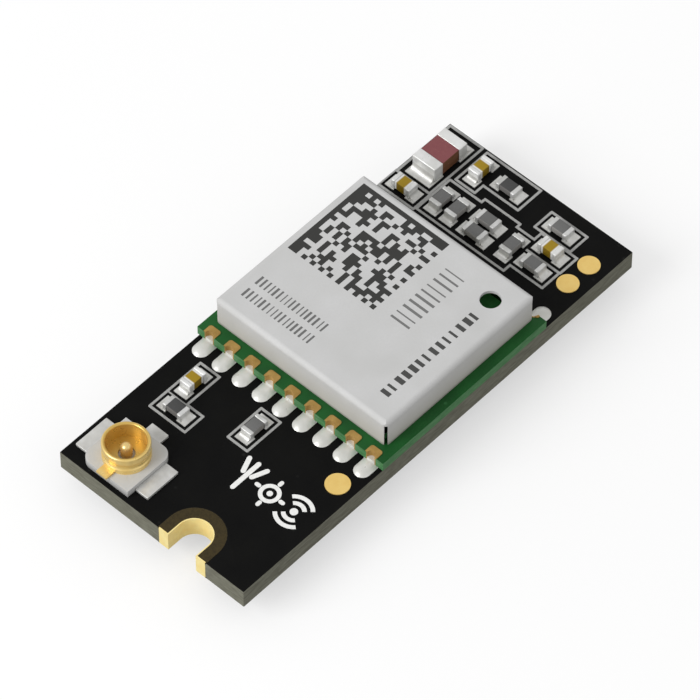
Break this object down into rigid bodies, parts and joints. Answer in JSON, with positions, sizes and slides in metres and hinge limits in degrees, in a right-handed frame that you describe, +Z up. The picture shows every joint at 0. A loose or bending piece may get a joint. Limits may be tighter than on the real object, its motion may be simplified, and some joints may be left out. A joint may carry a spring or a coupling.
{
  "type": "gps module",
  "caption": "Small black carrier board with a shielded satellite receiver module, a coaxial antenna socket, a screw notch, chip parts and a board-to-board plug underneath.",
  "frame": {"origin": "under the middle of the board, on the mating face of the plug", "axes": "+X along the board from its notch end to its far end, +Y across the board towards the antenna socket, +Z up from the plug to the shield can"},
  "size_m": [0.023, 0.01, 0.0039],
  "materials": {
    "board_mask": "black solder mask on glass-fibre laminate",
    "gold_plate": "thin gold plate, satin",
    "masked_copper": "copper under the dark mask",
    "outline_ink": "printed white ink, matt",
    "module_mask": "green solder mask",
    "solder": "tin solder, satin",
    "can_sheet": "matt tinned sheet",
    "chip_resin": "black moulding resin",
    "dark_ceramic": "fired ceramic, matt",
    "lid_metal": "plated lid, satin",
    "resistor_glass": "grey glass coat on ceramic",
    "capacitor_ceramic": "ochre fired ceramic",
    "bulk_ceramic": "red-brown fired ceramic",
    "end_tin": "tin plate, satin",
    "socket_plastic": "white moulded plastic",
    "socket_gold": "gold plate, bright",
    "plug_plastic": "ivory moulded plastic"
  },
  "bodies": {
    "root": {"carrier_board": "board_mask", "notch_plating": "gold_plate", "notch_rings": "masked_copper", "test_pads": "gold_plate", "component_outlines": "outline_ink", "module_substrate": "module_mask", "edge_contacts": "gold_plate", "module_solder": "solder", "shield_can": "can_sheet", "receiver_chip": "chip_resin", "receiver_leads": "end_tin", "oscillator_base": "dark_ceramic", "oscillator_lid": "lid_metal", "crystal_base": "dark_ceramic", "crystal_lid": "lid_metal", "band_filter": "chip_resin", "amplifier": "chip_resin", "small_capacitors": "capacitor_ceramic", "socket_base": "socket_plastic", "socket_ring": "socket_gold", "socket_contact": "socket_gold", "socket_solder": "solder", "chip_solder": "solder", "plug_housing": "plug_plastic", "plug_contacts": "gold_plate", "plug_solder": "solder", "bulk_capacitor": "bulk_ceramic", "resistor_1": "resistor_glass", "resistor_2": "resistor_glass", "resistor_3": "resistor_glass", "resistor_4": "resistor_glass", "resistor_5": "resistor_glass", "resistor_6": "resistor_glass", "resistor_7": "resistor_glass", "resistor_8": "resistor_glass", "resistor_9": "resistor_glass", "resistor_10": "resistor_glass", "capacitor_1": "capacitor_ceramic", "capacitor_2": "capacitor_ceramic", "capacitor_3": "capacitor_ceramic", "capacitor_4": "capacitor_ceramic", "resistor_1_ends": "end_tin", "resistor_2_ends": "end_tin", "resistor_3_ends": "end_tin", "resistor_4_ends": "end_tin", "resistor_5_ends": "end_tin", "resistor_6_ends": "end_tin", "resistor_7_ends": "end_tin", "resistor_8_ends": "end_tin", "resistor_9_ends": "end_tin", "resistor_10_ends": "end_tin", "capacitor_1_ends": "end_tin", "capacitor_2_ends": "end_tin", "capacitor_3_ends": "end_tin", "capacitor_4_ends": "end_tin", "bulk_capacitor_ends": "end_tin"}
  },
  "joints": []
}
